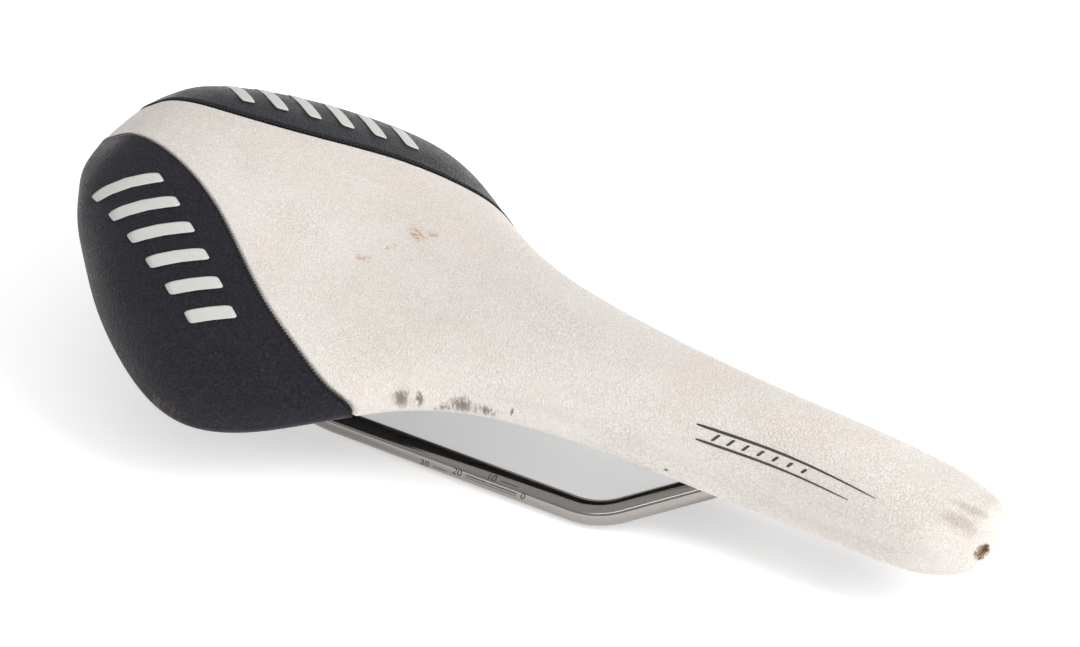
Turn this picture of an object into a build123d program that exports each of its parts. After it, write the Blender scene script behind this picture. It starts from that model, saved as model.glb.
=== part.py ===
from build123d import *
import os
from math import cos, pi, sin

# Flat racing bicycle saddle. Millimetres. +X points at the nose, +Y to the rider's left, +Z up.
# The origin lies midway between the two rails, at the middle of their straight clamp length.

# ---- driving dimensions -------------------------------------------------------------------
RAIL_RADIUS = 3.5
RAIL_HALF_SPACING = 22.0

COVER_THICKNESS = 1.0
PADDING_OVER_CROWN = 7.0
SHELL_THICKNESS = 2.5
NOSE_PADDING_SIDE = 2.5      # padding beside the nose, thicker out on the wings
WING_PADDING_SIDE = 6.5
SHELL_SIDE = 1.9
SECTION_EXPONENT = 2.3       # 2 would be an ellipse; a little more gives fuller shoulders
MID_SHELL = 2.5              # depth of the shell's middle, counted in layers (see inset_at)

# Stations along the saddle: x, half width, height of the crown, height of the bottom edge
STATIONS = [
    (149.5, 2.4, 26.6, 21.8),
    (147.0, 7.7, 30.4, 18.8),
    (142.0, 12.9, 31.9, 15.9),
    (135.0, 16.7, 33.1, 15.5),
    (125.0, 18.4, 34.7, 15.6),
    (110.0, 17.9, 37.3, 15.4),
    (90.0, 17.1, 39.5, 15.7),
    (70.0, 19.2, 40.1, 18.0),
    (45.0, 23.0, 40.6, 21.8),
    (20.0, 28.4, 41.2, 24.6),
    (5.0, 33.4, 41.6, 25.4),
    (-10.0, 41.9, 41.9, 24.9),
    (-25.0, 54.2, 42.9, 22.8),
    (-40.0, 67.0, 45.4, 21.0),
    (-55.0, 73.3, 49.6, 21.0),
    (-70.0, 70.2, 54.4, 23.0),
    (-85.0, 61.6, 58.5, 27.5),
    (-97.0, 52.1, 60.7, 32.6),
    (-107.0, 42.0, 61.1, 38.6),
    (-114.0, 33.6, 58.9, 44.3),
    (-119.0, 24.1, 55.5, 48.4),
    (-121.0, 17.2, 53.2, 48.4),
]
MIDDLE_X = 14.0
BODY_HALF_LENGTH = 136.0
WIDEST = 73.3
NARROWEST = 17.1
FULL_DEPTH = 24.0            # where the body is shallower than this, its layers are thinner too
END_PADDING = 2.5
LEAST_LAYER_HEIGHT = 3.0     # a layer stops where its section gets lower or narrower than this
LEAST_LAYER_HALF_WIDTH = 1.2

# Seam between the centre panel and a wing panel, in plan: x, y
SEAM = [(-17.5, 48.1), (-25.0, 50.5), (-37.0, 47.8), (-51.0, 41.3), (-75.0, 24.3), (-97.0, 13.8), (-122.0, 9.5)]
SEAM_TAPE_WIDTH = 2.4
SEAM_TAPE_HEIGHT = 0.4
BEYOND_WING = 90.0

# Rail corners, left side, from the rear end to the nose loop
REAR_END = (-93.7, 31.1, 30.3)
REAR_CORNER = (-43.0, RAIL_HALF_SPACING, 0)
FRONT_CORNER = (43.3, RAIL_HALF_SPACING, 0)
NOSE_CORNER = (78.0, 7.5, 18.5)
NOSE_LOOP = (124.0, 7.5, 18.5)
RAIL_BEND_RADIUS = 24.0      # leaves 72 mm straight for the clamp
NOSE_BEND_RADIUS = 15.0
LOOP_RADIUS = 7.4

BUSH_RADIUS = 5.8
SOCKET_RADIUS = 8.3
SOCKET_LENGTH = 17.0
SOCKET_FLOOR = 1.5
SOCKET_WEB = (15.0, 12.6)    # block between a socket and the shell above it: length, width
SOCKET_WEB_CORNER = 3.0
SOCKET_WEB_FORWARD = 6.0
SOCKET_WEB_DROP = 2.0
BUSH_FLOOR = 1.0
BUSH_COLLAR = 1.6
GROOVE_CLEARANCE = 0.05

SCREW_RADIUS = 2.0
SCREW_HEAD_RADIUS = 3.4
SCREW_HEAD_HEIGHT = 2.2
HEX_RADIUS = 1.5
HEX_DEPTH = 1.5

RETAINER_TOP = NOSE_LOOP[2]
RETAINER_THICKNESS = 4.6
RETAINER_X = (93.0, 130.0)
RETAINER_HALF_WIDTH = 10.6
RETAINER_CORNER = 5.0
NOSE_SEAT_WIDTH = 30.0
SEAT_GAP = 0.1
NOSE_SCREWS = [(100.0, 0), (113.0, 0)]
NOSE_SCREW_GRIP = 5.0

BRACKET_X = (-107.0, -79.0)
BRACKET_HALF_WIDTH = 14.0
BRACKET_TOP = 40.0
BRACKET_PLATE = 2.4
BRACKET_DEPTH = 8.6
BRACKET_WALL = 2.0
LIP_WIDTH = 2.6
LIP_HEIGHT = 1.6
SLIDE_CLEARANCE = 0.3
BRACKET_SCREWS = [(-85.0, 8.0), (-85.0, -8.0)]
BRACKET_SCREW_GRIP = 4.0
CLIP_GRIP = 5.0              # how far the clip cover's grip stands out behind its slot
BOSS_RADIUS = 4.5
REAR_PAD_X = -100.0          # pad of the shell that the bracket's rear end bears on
REAR_PAD = (8.0, 20.0)
REAR_PAD_CORNER = 2.0
BRACKET_CORNER = 1.5
GRIP_CORNER = 2.0
FITTING_HEIGHT = 25.0        # fittings are drawn this tall, then trimmed to the shell
OPEN_BELOW = 20.0            # how far cutting bodies reach down past the bottom edge

RIB_THICKNESS = 1.8
RIB_DEPTH = 3.0
RIB_Y = 9.0
RIB_MIDDLE_X = -2.0
RIB_LENGTH = 104.0
RIB_BOTTOM = 22.0
CROSS_RIBS = [(-51.0, 36.0), (-29.0, 26.0), (-7.0, 19.0), (17.0, 13.0), (41.0, 11.0)]


def inset_at(depth, cover, padding, shell):
    """Inset of a layer's outside: depth 0 is the cover's, 1 the padding's, 2 the shell's, 3 its inside."""
    return cover * min(depth, 1) + padding * min(max(depth - 1, 0), 1) + shell * max(depth - 2, 0)


def side_padding(half_width):
    """Padding thickness at the side of a section of this half width."""
    share = (half_width - NARROWEST) / (WIDEST - NARROWEST)
    return NOSE_PADDING_SIDE + (WING_PADDING_SIDE - NOSE_PADDING_SIDE) * max(share, 0)


def section_points(half_width, crown, edge):
    """Half a superellipse across the saddle, from its left bottom edge over the crown to the right."""
    power = 2 / SECTION_EXPONENT
    points = []
    for step in range(13):
        angle = pi * step / 12
        across = abs(cos(angle)) ** power * half_width
        height = abs(sin(angle)) ** power * (crown - edge)
        points.append((across if step < 6 else -across, edge + height))
    return points


def arch(depth, skirt, drop=0):
    """The domed body at a layer's depth; skirt lengthens it downwards and drop lowers its crown."""
    with BuildPart() as body:
        for x, half_width, crown, edge in STATIONS:
            thinning = min((crown - edge) / FULL_DEPTH, 1)
            top = inset_at(depth, COVER_THICKNESS, PADDING_OVER_CROWN * thinning, SHELL_THICKNESS * thinning)
            side = inset_at(depth, COVER_THICKNESS, side_padding(half_width), SHELL_SIDE)
            shrink = 1 - inset_at(depth, COVER_THICKNESS, END_PADDING, SHELL_THICKNESS) / BODY_HALF_LENGTH
            if crown - top - drop - edge < LEAST_LAYER_HEIGHT or half_width - side < LEAST_LAYER_HALF_WIDTH:
                continue
            points = section_points(half_width - side, crown - top - drop, edge)
            with BuildSketch(Plane.YZ.offset(MIDDLE_X + (x - MIDDLE_X) * shrink)):
                with BuildLine():
                    Spline(*points)
                    left, right = points[0][0], points[-1][0]
                    if skirt:
                        Polyline(points[-1], (right, edge - skirt), (left, edge - skirt), points[0])
                    else:
                        Line(points[-1], points[0])
                make_face()
        loft()
    return body.part


def wing_prism(side, offset, depth=0):
    """Upright prism over one wing's panel; with a depth it is only a strip along the seam."""
    seam = [(x, side * (y + offset)) for x, y in SEAM]
    if depth:
        back = [(x, side * (y + offset + depth)) for x, y in reversed(SEAM)]
    else:
        back = [(SEAM[-1][0], side * BEYOND_WING), (SEAM[0][0], side * BEYOND_WING)]
    with BuildPart() as prism:
        with BuildSketch(Plane.XY):
            with BuildLine():
                Spline(*seam)
                if depth:
                    Spline(*back)
                    Line(seam[-1], back[0])
                    Line(back[-1], seam[0])
                else:
                    Polyline(seam[-1], *back, seam[0])
            make_face()
        extrude(amount=100)
    return prism.part


def socket_plane(side, back):
    """Plane across a rail's rear end, moved down along the rail by this much."""
    direction = (Vector(*REAR_END) - Vector(*REAR_CORNER)).normalized()
    direction = Vector(direction.X, side * direction.Y, direction.Z)
    end = Vector(REAR_END[0], side * REAR_END[1], REAR_END[2])
    return Plane(origin=end - direction * back, z_dir=direction)


def rail_tube(radius):
    """The whole rail, swept from the left rear end round the nose to the right rear end."""
    left = [REAR_END, REAR_CORNER, FRONT_CORNER, NOSE_CORNER, NOSE_LOOP]
    right = [(x, -y, z) for x, y, z in reversed(left)]
    bends = [RAIL_BEND_RADIUS, RAIL_BEND_RADIUS, NOSE_BEND_RADIUS, LOOP_RADIUS]
    with BuildPart() as tube:
        with BuildLine():
            FilletPolyline(*left, *right, radius=bends + bends[::-1])
        with BuildSketch(socket_plane(1, 0)):
            Circle(radius)
        sweep()
    return tube.part


def finish(piece, name):
    """Name a finished piece, say how big it is and write it."""
    piece.label = name
    print(f"{name:24s} {len(piece.solids())} solid(s) {piece.volume:10.1f} mm3")
    export_step(piece, f"parts/{name}.step")


os.makedirs("parts", exist_ok=True)
outer_body = arch(0, COVER_THICKNESS)
padded_body = arch(1, 0)
shell_body = arch(2, 0)
shell_cavity = arch(3, OPEN_BELOW)
rail_groove = rail_tube(RAIL_RADIUS + GROOVE_CLEARANCE)

# ---- rail: one bent tube ------------------------------------------------------------------------
finish(rail_tube(RAIL_RADIUS), "rail")

# ---- rail bushes: collared cups round the rail's rear ends --------------------------------------
for side, name in ((1, "rail_bush_left"), (-1, "rail_bush_right")):
    with BuildPart() as rail_bush:
        with BuildSketch(socket_plane(side, SOCKET_LENGTH)):
            Circle(BUSH_RADIUS)
        extrude(amount=SOCKET_LENGTH + BUSH_FLOOR)
        with BuildSketch(socket_plane(side, SOCKET_LENGTH + BUSH_COLLAR)):
            Circle(BUSH_RADIUS + BUSH_COLLAR)
        extrude(amount=BUSH_COLLAR)
        with BuildSketch(socket_plane(side, SOCKET_LENGTH + BUSH_COLLAR)):
            Circle(RAIL_RADIUS)
        extrude(amount=SOCKET_LENGTH + BUSH_COLLAR, mode=Mode.SUBTRACT)
    finish(rail_bush.part, name)

# ---- base shell: moulded arch with ribs, rail sockets, nose seat and bracket bosses -------------
with BuildPart() as shell_fittings:
    for side in (-1, 1):
        with BuildSketch(socket_plane(side, SOCKET_LENGTH)):
            Circle(SOCKET_RADIUS)
        extrude(amount=SOCKET_LENGTH + BUSH_FLOOR + SOCKET_FLOOR)
        with BuildSketch(Plane.XY.offset(REAR_END[2] - SOCKET_WEB_DROP)):
            with Locations((REAR_END[0] + SOCKET_WEB_FORWARD, side * REAR_END[1])):
                RectangleRounded(*SOCKET_WEB, SOCKET_WEB_CORNER)
        extrude(amount=FITTING_HEIGHT)
    with BuildSketch(Plane.XY.offset(RETAINER_TOP + SEAT_GAP)):
        with Locations(((RETAINER_X[0] + RETAINER_X[1]) / 2, 0)):
            Rectangle(RETAINER_X[1] - RETAINER_X[0], NOSE_SEAT_WIDTH)
    extrude(amount=FITTING_HEIGHT)
    with BuildSketch(Plane.XY.offset(BRACKET_TOP)):
        with Locations(*BRACKET_SCREWS):
            Circle(BOSS_RADIUS)
        with Locations((REAR_PAD_X, 0)):
            RectangleRounded(*REAR_PAD, REAR_PAD_CORNER)
    extrude(amount=FITTING_HEIGHT)

with BuildPart() as fittings:
    add(shell_fittings.part)
    add(arch(MID_SHELL, OPEN_BELOW), mode=Mode.INTERSECT)

with BuildPart() as ribs:
    with BuildSketch(Plane.XY.offset(RIB_BOTTOM)):
        with Locations((RIB_MIDDLE_X, RIB_Y), (RIB_MIDDLE_X, -RIB_Y)):
            Rectangle(RIB_LENGTH, RIB_THICKNESS)
        for x, half_length in CROSS_RIBS:
            with Locations((x, 0)):
                Rectangle(RIB_THICKNESS, 2 * half_length)
    extrude(amount=FITTING_HEIGHT)
    add(arch(MID_SHELL, OPEN_BELOW), mode=Mode.INTERSECT)
    add(arch(3, OPEN_BELOW, RIB_DEPTH), mode=Mode.SUBTRACT)

with BuildPart() as base_shell:
    add(shell_body)
    add(shell_cavity, mode=Mode.SUBTRACT)
    add(ribs.part)
    add(fittings.part)
    add(rail_groove, mode=Mode.SUBTRACT)
    for side in (-1, 1):
        with BuildSketch(socket_plane(side, SOCKET_LENGTH + 1)):
            Circle(BUSH_RADIUS)
        extrude(amount=SOCKET_LENGTH + 1 + BUSH_FLOOR, mode=Mode.SUBTRACT)
    with BuildSketch(Plane.XY.offset(RETAINER_TOP)):
        with Locations(*NOSE_SCREWS):
            Circle(SCREW_RADIUS)
    extrude(amount=NOSE_SCREW_GRIP, mode=Mode.SUBTRACT)
    with BuildSketch(Plane.XY.offset(BRACKET_TOP)):
        with Locations(*BRACKET_SCREWS):
            Circle(SCREW_RADIUS)
    extrude(amount=BRACKET_SCREW_GRIP, mode=Mode.SUBTRACT)
finish(base_shell.part, "base_shell")

# ---- foam padding: everything between the cover and the shell -----------------------------------
with BuildPart() as foam_padding:
    add(padded_body)
    add(arch(2, OPEN_BELOW), mode=Mode.SUBTRACT)
finish(foam_padding.part, "foam_padding")

# ---- cover panels: a skin that also turns in under the rim as a hem -----------------------------
with BuildPart() as cover:
    add(outer_body)
    add(padded_body, mode=Mode.SUBTRACT)
    add(shell_body, mode=Mode.SUBTRACT)
    add(shell_cavity, mode=Mode.SUBTRACT)

with BuildPart() as cover_centre:
    add(cover.part)
    add(wing_prism(1, 0), mode=Mode.SUBTRACT)
    add(wing_prism(-1, 0), mode=Mode.SUBTRACT)
finish(cover_centre.part, "cover_centre")

for side, name in ((1, "cover_wing_left"), (-1, "cover_wing_right")):
    with BuildPart() as cover_wing:
        add(cover.part)
        add(wing_prism(side, 0), mode=Mode.INTERSECT)
    finish(cover_wing.part, name)

# ---- seam tapes: the raised zigzag stitching over each seam -------------------------------------
with BuildPart() as seam_skin:
    add(arch(-SEAM_TAPE_HEIGHT / COVER_THICKNESS, 0))
    add(outer_body, mode=Mode.SUBTRACT)

for side, name in ((1, "seam_stitching_left"), (-1, "seam_stitching_right")):
    with BuildPart() as seam_stitching:
        add(seam_skin.part)
        add(wing_prism(side, -SEAM_TAPE_WIDTH / 2, SEAM_TAPE_WIDTH), mode=Mode.INTERSECT)
    finish(seam_stitching.part, name)

# ---- nose retainer: plate that holds the rail's nose loop up into its seat ----------------------
with BuildPart() as nose_retainer:
    with BuildSketch(Plane.XY.offset(RETAINER_TOP - RETAINER_THICKNESS)):
        with Locations(((RETAINER_X[0] + RETAINER_X[1]) / 2, 0)):
            RectangleRounded(RETAINER_X[1] - RETAINER_X[0], 2 * RETAINER_HALF_WIDTH, RETAINER_CORNER)
    extrude(amount=RETAINER_THICKNESS)
    add(rail_groove, mode=Mode.SUBTRACT)
    with BuildSketch(Plane.XY.offset(RETAINER_TOP - RETAINER_THICKNESS)):
        with Locations(*NOSE_SCREWS):
            Circle(SCREW_HEAD_RADIUS)
    extrude(amount=SCREW_HEAD_HEIGHT, mode=Mode.SUBTRACT)
    with BuildSketch(Plane.XY.offset(RETAINER_TOP - RETAINER_THICKNESS)):
        with Locations(*NOSE_SCREWS):
            Circle(SCREW_RADIUS)
    extrude(amount=RETAINER_THICKNESS, mode=Mode.SUBTRACT)
finish(nose_retainer.part, "nose_retainer")

with BuildPart() as nose_retainer_screws:
    with BuildSketch(Plane.XY.offset(RETAINER_TOP - RETAINER_THICKNESS)):
        with Locations(*NOSE_SCREWS):
            Circle(SCREW_HEAD_RADIUS)
    extrude(amount=SCREW_HEAD_HEIGHT)
    with BuildSketch(Plane.XY.offset(RETAINER_TOP - RETAINER_THICKNESS)):
        with Locations(*NOSE_SCREWS):
            Circle(SCREW_RADIUS)
    extrude(amount=RETAINER_THICKNESS + NOSE_SCREW_GRIP)
    with BuildSketch(Plane.XY.offset(RETAINER_TOP - RETAINER_THICKNESS)):
        with Locations(*NOSE_SCREWS):
            RegularPolygon(HEX_RADIUS, 6)
    extrude(amount=HEX_DEPTH, mode=Mode.SUBTRACT)
finish(nose_retainer_screws.part, "nose_retainer_screws")

# ---- accessory bracket under the tail: a slot, closed in front and open to the rear -------------
SLOT_FLOOR = BRACKET_TOP - BRACKET_DEPTH
BRACKET_MIDDLE = (BRACKET_X[0] + BRACKET_X[1]) / 2
BRACKET_LENGTH = BRACKET_X[1] - BRACKET_X[0]
with BuildPart() as clip_bracket:
    with BuildSketch(Plane.XY.offset(SLOT_FLOOR)):
        with Locations((BRACKET_MIDDLE, 0)):
            RectangleRounded(BRACKET_LENGTH, 2 * BRACKET_HALF_WIDTH, BRACKET_CORNER)
    extrude(amount=BRACKET_DEPTH)
    with BuildSketch(Plane.XY.offset(SLOT_FLOOR + LIP_HEIGHT)):
        with Locations((BRACKET_MIDDLE - BRACKET_WALL, 0)):
            Rectangle(BRACKET_LENGTH, 2 * (BRACKET_HALF_WIDTH - BRACKET_WALL))
    extrude(amount=BRACKET_DEPTH - LIP_HEIGHT - BRACKET_PLATE, mode=Mode.SUBTRACT)
    with BuildSketch(Plane.XY.offset(SLOT_FLOOR)):
        with Locations((BRACKET_MIDDLE - BRACKET_WALL, 0)):
            Rectangle(BRACKET_LENGTH, 2 * (BRACKET_HALF_WIDTH - BRACKET_WALL - LIP_WIDTH))
    extrude(amount=LIP_HEIGHT, mode=Mode.SUBTRACT)
    with Locations(*[Location((x, y, BRACKET_TOP - BRACKET_PLATE), (180, 0, 0)) for x, y in BRACKET_SCREWS]):
        CounterSinkHole(SCREW_RADIUS, SCREW_HEAD_RADIUS, depth=BRACKET_PLATE)
finish(clip_bracket.part, "clip_bracket")

with BuildPart() as clip_bracket_screws:
    with BuildSketch(Plane.XY.offset(BRACKET_TOP - BRACKET_PLATE)):
        with Locations(*BRACKET_SCREWS):
            Circle(SCREW_RADIUS)
    extrude(amount=BRACKET_PLATE + BRACKET_SCREW_GRIP)
    cone_height = SCREW_HEAD_RADIUS - SCREW_RADIUS
    with Locations(*[(x, y, BRACKET_TOP - BRACKET_PLATE) for x, y in BRACKET_SCREWS]):
        Cone(SCREW_HEAD_RADIUS, SCREW_RADIUS, cone_height, align=(Align.CENTER, Align.CENTER, Align.MIN))
    with BuildSketch(Plane.XY.offset(BRACKET_TOP - BRACKET_PLATE)):
        with Locations(*BRACKET_SCREWS):
            RegularPolygon(HEX_RADIUS, 6)
    extrude(amount=HEX_DEPTH, mode=Mode.SUBTRACT)
finish(clip_bracket_screws.part, "clip_bracket_screws")

# ---- clip cover: fills the slot when no accessory hangs there, and slides out to the rear -------
with BuildPart() as clip_cover:
    slot_front = BRACKET_X[1] - BRACKET_WALL - SLIDE_CLEARANCE
    slot_rear = BRACKET_X[0] - SLIDE_CLEARANCE
    slide_height = BRACKET_DEPTH - LIP_HEIGHT - BRACKET_PLATE - 2 * SLIDE_CLEARANCE
    slide_half_width = BRACKET_HALF_WIDTH - BRACKET_WALL - SLIDE_CLEARANCE
    with BuildSketch(Plane.XY.offset(SLOT_FLOOR + LIP_HEIGHT + SLIDE_CLEARANCE)):
        with Locations(((slot_front + slot_rear) / 2, 0)):
            Rectangle(slot_front - slot_rear, 2 * slide_half_width)
    extrude(amount=slide_height)
    with BuildSketch(Plane.XY.offset(SLOT_FLOOR)):
        with Locations((slot_rear - CLIP_GRIP / 2, 0)):
            RectangleRounded(CLIP_GRIP, 2 * BRACKET_HALF_WIDTH, GRIP_CORNER)
    extrude(amount=BRACKET_DEPTH - BRACKET_PLATE)
    with BuildSketch(Plane.XY.offset(SLOT_FLOOR + SLIDE_CLEARANCE)):
        with Locations(((slot_front + slot_rear) / 2, 0)):
            Rectangle(slot_front - slot_rear, 2 * (slide_half_width - LIP_WIDTH - SLIDE_CLEARANCE))
    extrude(amount=LIP_HEIGHT)
finish(clip_cover.part, "clip_cover")
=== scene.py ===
from math import ceil, cos, pi, radians, sin

import bmesh
import bpy
import numpy as np
from mathutils import Matrix, Vector


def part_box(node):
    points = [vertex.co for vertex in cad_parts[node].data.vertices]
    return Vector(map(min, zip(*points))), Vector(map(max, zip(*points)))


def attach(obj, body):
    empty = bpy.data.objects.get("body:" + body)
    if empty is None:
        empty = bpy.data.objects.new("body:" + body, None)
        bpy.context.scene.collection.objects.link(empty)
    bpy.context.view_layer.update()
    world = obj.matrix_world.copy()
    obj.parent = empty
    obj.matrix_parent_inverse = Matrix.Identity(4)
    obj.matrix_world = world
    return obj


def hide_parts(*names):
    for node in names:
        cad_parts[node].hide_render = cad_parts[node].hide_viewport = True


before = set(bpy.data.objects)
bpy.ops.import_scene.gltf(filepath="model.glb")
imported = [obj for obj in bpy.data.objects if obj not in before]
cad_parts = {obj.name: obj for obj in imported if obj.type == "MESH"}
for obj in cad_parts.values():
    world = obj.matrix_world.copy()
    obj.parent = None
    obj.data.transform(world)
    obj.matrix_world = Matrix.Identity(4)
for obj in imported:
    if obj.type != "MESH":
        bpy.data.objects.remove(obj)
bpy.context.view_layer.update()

# Bicycle saddle: the looks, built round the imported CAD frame. Lengths are in millimetres, apart
# from the lamps' places. +X points at the nose, +Y to the rider's left, +Z up.

MM = 0.001

# ---- the body's shape ----
# x, half width, height of the crown, height of the bottom edge
STATIONS = np.array([
    (149.5, 2.4, 26.6, 21.8),
    (147.0, 7.7, 30.4, 18.8),
    (142.0, 12.9, 31.9, 15.9),
    (135.0, 16.7, 33.1, 15.5),
    (125.0, 18.4, 34.7, 15.6),
    (110.0, 17.9, 37.3, 15.4),
    (90.0, 17.1, 39.5, 15.7),
    (70.0, 19.2, 40.1, 18.0),
    (45.0, 23.0, 40.6, 21.8),
    (20.0, 28.4, 41.2, 24.6),
    (5.0, 33.4, 41.6, 25.4),
    (-10.0, 41.9, 41.9, 24.9),
    (-25.0, 54.2, 42.9, 22.8),
    (-40.0, 67.0, 45.4, 21.0),
    (-55.0, 73.3, 49.6, 21.0),
    (-70.0, 70.2, 54.4, 23.0),
    (-85.0, 61.6, 58.5, 27.5),
    (-97.0, 52.1, 60.7, 32.6),
    (-107.0, 42.0, 61.1, 38.6),
    (-114.0, 33.6, 58.9, 44.3),
    (-119.0, 24.1, 55.5, 48.4),
    (-121.0, 17.2, 53.2, 48.4),
])[::-1]
NOSE_TIP = 149.9
TAIL_TIP = -121.7
MIDDLE_X = (NOSE_TIP + TAIL_TIP) / 2
HALF_LENGTH = (NOSE_TIP - TAIL_TIP) / 2
SECTION_EXPONENT = 2.3
SECTION_POWER = 2 / SECTION_EXPONENT
# length and exponent of the rounding at each end: nose width, nose height, tail width, tail height
NOSE_WIDTH_CAP = (12.5, 2.35)
NOSE_HEIGHT_CAP = (16.0, 2.4)
TAIL_WIDTH_CAP = (14.0, 3.5)
TAIL_HEIGHT_CAP = (13.0, 3.1)
RIM_RADIUS = 2.2
RIM_RAISE = 1.2  # the rim's rounding starts this far above the bottom edge
COVER = 1.0  # thickness of the cover
SEAM = np.array([(-17.5, 48.1), (-25.0, 50.5), (-37.0, 47.8), (-51.0, 41.3), (-75.0, 24.3),
                 (-97.0, 13.8), (-122.0, 9.5)])[::-1]
SEAM_FRONT = SEAM[-1, 0] + 6  # no seam lies in front of this x
OUTLINE_POINTS = 6001
TIP_CROWDING = 2.2


def spline(knots, values):
    """Natural cubic spline through the knots, as a function of an array."""
    count = len(knots)
    step = np.diff(knots)
    slope = np.diff(values) / step
    matrix = np.eye(count)
    right = np.zeros(count)
    for i in range(1, count - 1):
        matrix[i, i - 1:i + 2] = step[i - 1], 2 * (step[i - 1] + step[i]), step[i]
        right[i] = 3 * (slope[i] - slope[i - 1])
    curve = np.linalg.solve(matrix, right)

    def at(x):
        x = np.clip(np.asarray(x, float), knots[0], knots[-1])
        i = np.clip(np.searchsorted(knots, x) - 1, 0, count - 2)
        t = x - knots[i]
        first = slope[i] - step[i] * (2 * curve[i] + curve[i + 1]) / 3
        third = (curve[i + 1] - curve[i]) / (3 * step[i])
        return values[i] + t * (first + t * (curve[i] + t * third))
    return at


def unit(vectors):
    """The vectors at length 1."""
    return vectors / np.maximum(np.linalg.norm(vectors, axis=-1, keepdims=True), 1e-9)


def steepness(curve, x, reach=0.01):
    return (curve(x + reach) - curve(x - reach)) / (2 * reach)


def cap(distance, length, exponent):
    """Rounding of an end: 0 at the tip, 1 from this length on."""
    share = 1 - np.clip(np.asarray(distance, float) / length, 0, 1)
    return (1 - share ** exponent) ** (1 / exponent)


def ends(x, nose, tail):
    return cap(NOSE_TIP - x, *nose) * cap(x - TAIL_TIP, *tail)


STATION_X = STATIONS[:, 0]
width_base = spline(STATION_X, STATIONS[:, 1] / ends(STATION_X, NOSE_WIDTH_CAP, TAIL_WIDTH_CAP))
height_base = spline(STATION_X, (STATIONS[:, 2] - STATIONS[:, 3])
                     / ends(STATION_X, NOSE_HEIGHT_CAP, TAIL_HEIGHT_CAP))
edge_height = spline(STATION_X, STATIONS[:, 3])
seam_across = spline(SEAM[:, 0], SEAM[:, 1])


def half_width(x):
    return width_base(x) * ends(x, NOSE_WIDTH_CAP, TAIL_WIDTH_CAP)


def height(x):
    return height_base(x) * ends(x, NOSE_HEIGHT_CAP, TAIL_HEIGHT_CAP)


def skin(x, angle):
    """Position and normal on the outer skin; angle is 0 on the crown, +-90 degrees at the rim."""
    x = np.asarray(x, float)
    angle = np.asarray(angle, float)
    wide = np.maximum(half_width(x), 1e-4)
    high = np.maximum(height(x), 1e-4)
    across = np.sign(angle) * np.abs(np.sin(angle)) ** SECTION_POWER
    up = np.maximum(np.cos(angle), 0) ** SECTION_POWER
    place = np.stack([x, across * wide, edge_height(x) + up * high], -1)
    side = np.abs(across) ** (SECTION_EXPONENT - 1) / wide
    top = up ** (SECTION_EXPONENT - 1) / high
    along = (-np.abs(across) * side * steepness(half_width, x) - up * top * steepness(height, x)
             - top * steepness(edge_height, x))
    return place, unit(np.stack([along, np.sign(angle) * side, top], -1))


def rim_angle(x):
    """Angle at which the skin is RIM_RAISE above the bottom edge."""
    share = np.clip(RIM_RAISE / np.maximum(height(x), 1e-6), 0, 1)
    return np.arccos(share ** (1 / SECTION_POWER))


def seam_angle(x, aside=0.0):
    """Angle of the seam, moved outwards across the saddle by aside."""
    share = np.clip((seam_across(x) + aside) / np.maximum(half_width(x), 1e-4), 0, 1)
    return np.arcsin(share ** (1 / SECTION_POWER))


def across_grid(x, rows):
    """x, angle, position and normal over the skin; rows go from -1 to 1 between the two rims."""
    grid_x = np.repeat(x[:, None], len(rows), 1)
    angle = rows[None, :] * rim_angle(x)[:, None]
    return (grid_x, angle, *skin(grid_x, angle))


def run_length(points):
    """Length along a polyline up to each of its points."""
    return np.concatenate([[0], np.cumsum(np.linalg.norm(np.diff(points, axis=0), axis=1))])


def evenly(points, spacing):
    """Fractional indices that walk a fine polyline in even steps of about this spacing."""
    run = run_length(points)
    count = int(ceil(run[-1] / spacing))
    return np.interp(np.linspace(0, run[-1], count + 1), run, np.arange(len(points)))


def pick(values, index):
    return np.interp(index, np.arange(len(values)), values)


def pick_rows(rows, index):
    return np.stack([pick(rows[:, k], index) for k in range(3)], -1)


def on_side(grid, side):
    """A left grid as it is for side 1, mirrored to the right for side -1."""
    return grid * np.array([1, side, 1])


def outline_x():
    """x values from tail to nose, crowded at both tips, where the outline turns across."""
    turn = np.linspace(0, pi, OUTLINE_POINTS)
    along = np.cos(turn)
    x = MIDDLE_X - HALF_LENGTH * np.sign(along) * (1 - (1 - np.abs(along)) ** TIP_CROWDING)
    return x[height(x) > RIM_RAISE + 1e-3]


FINE_X = outline_x()
FINE_RIM = rim_angle(FINE_X)
FINE_RIM[0] = FINE_RIM[-1] = 0  # the rim closes at both tips


def boundary(aside):
    """x and angle along the centre panel's left edge, from the tail round the seam to the nose."""
    seam = seam_angle(FINE_X, aside)
    open_seam = (FINE_X < SEAM_FRONT) & (seam < FINE_RIM)
    return FINE_X, np.where(open_seam, seam, FINE_RIM), open_seam


# ---- meshes ----
def put(name, data):
    """A new object in the scene."""
    piece = bpy.data.objects.new(name, data)
    bpy.context.scene.collection.objects.link(piece)
    return piece


def smooth(mesh):
    mesh.polygons.foreach_set("use_smooth", [True] * len(mesh.polygons))


def make_mesh(name, verts, faces):
    """A smooth-shaded mesh object from vertices in millimetres."""
    mesh = bpy.data.meshes.new(name)
    mesh.from_pydata([tuple(v) for v in np.asarray(verts, float) * MM], [], faces)
    mesh.validate()
    mesh.update()
    smooth(mesh)
    return put(name, mesh)


def edit(piece, change):
    """Runs change on the piece's mesh as a bmesh."""
    work = bmesh.new()
    work.from_mesh(piece.data)
    change(work)
    work.to_mesh(piece.data)
    work.free()
    piece.data.update()


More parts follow.
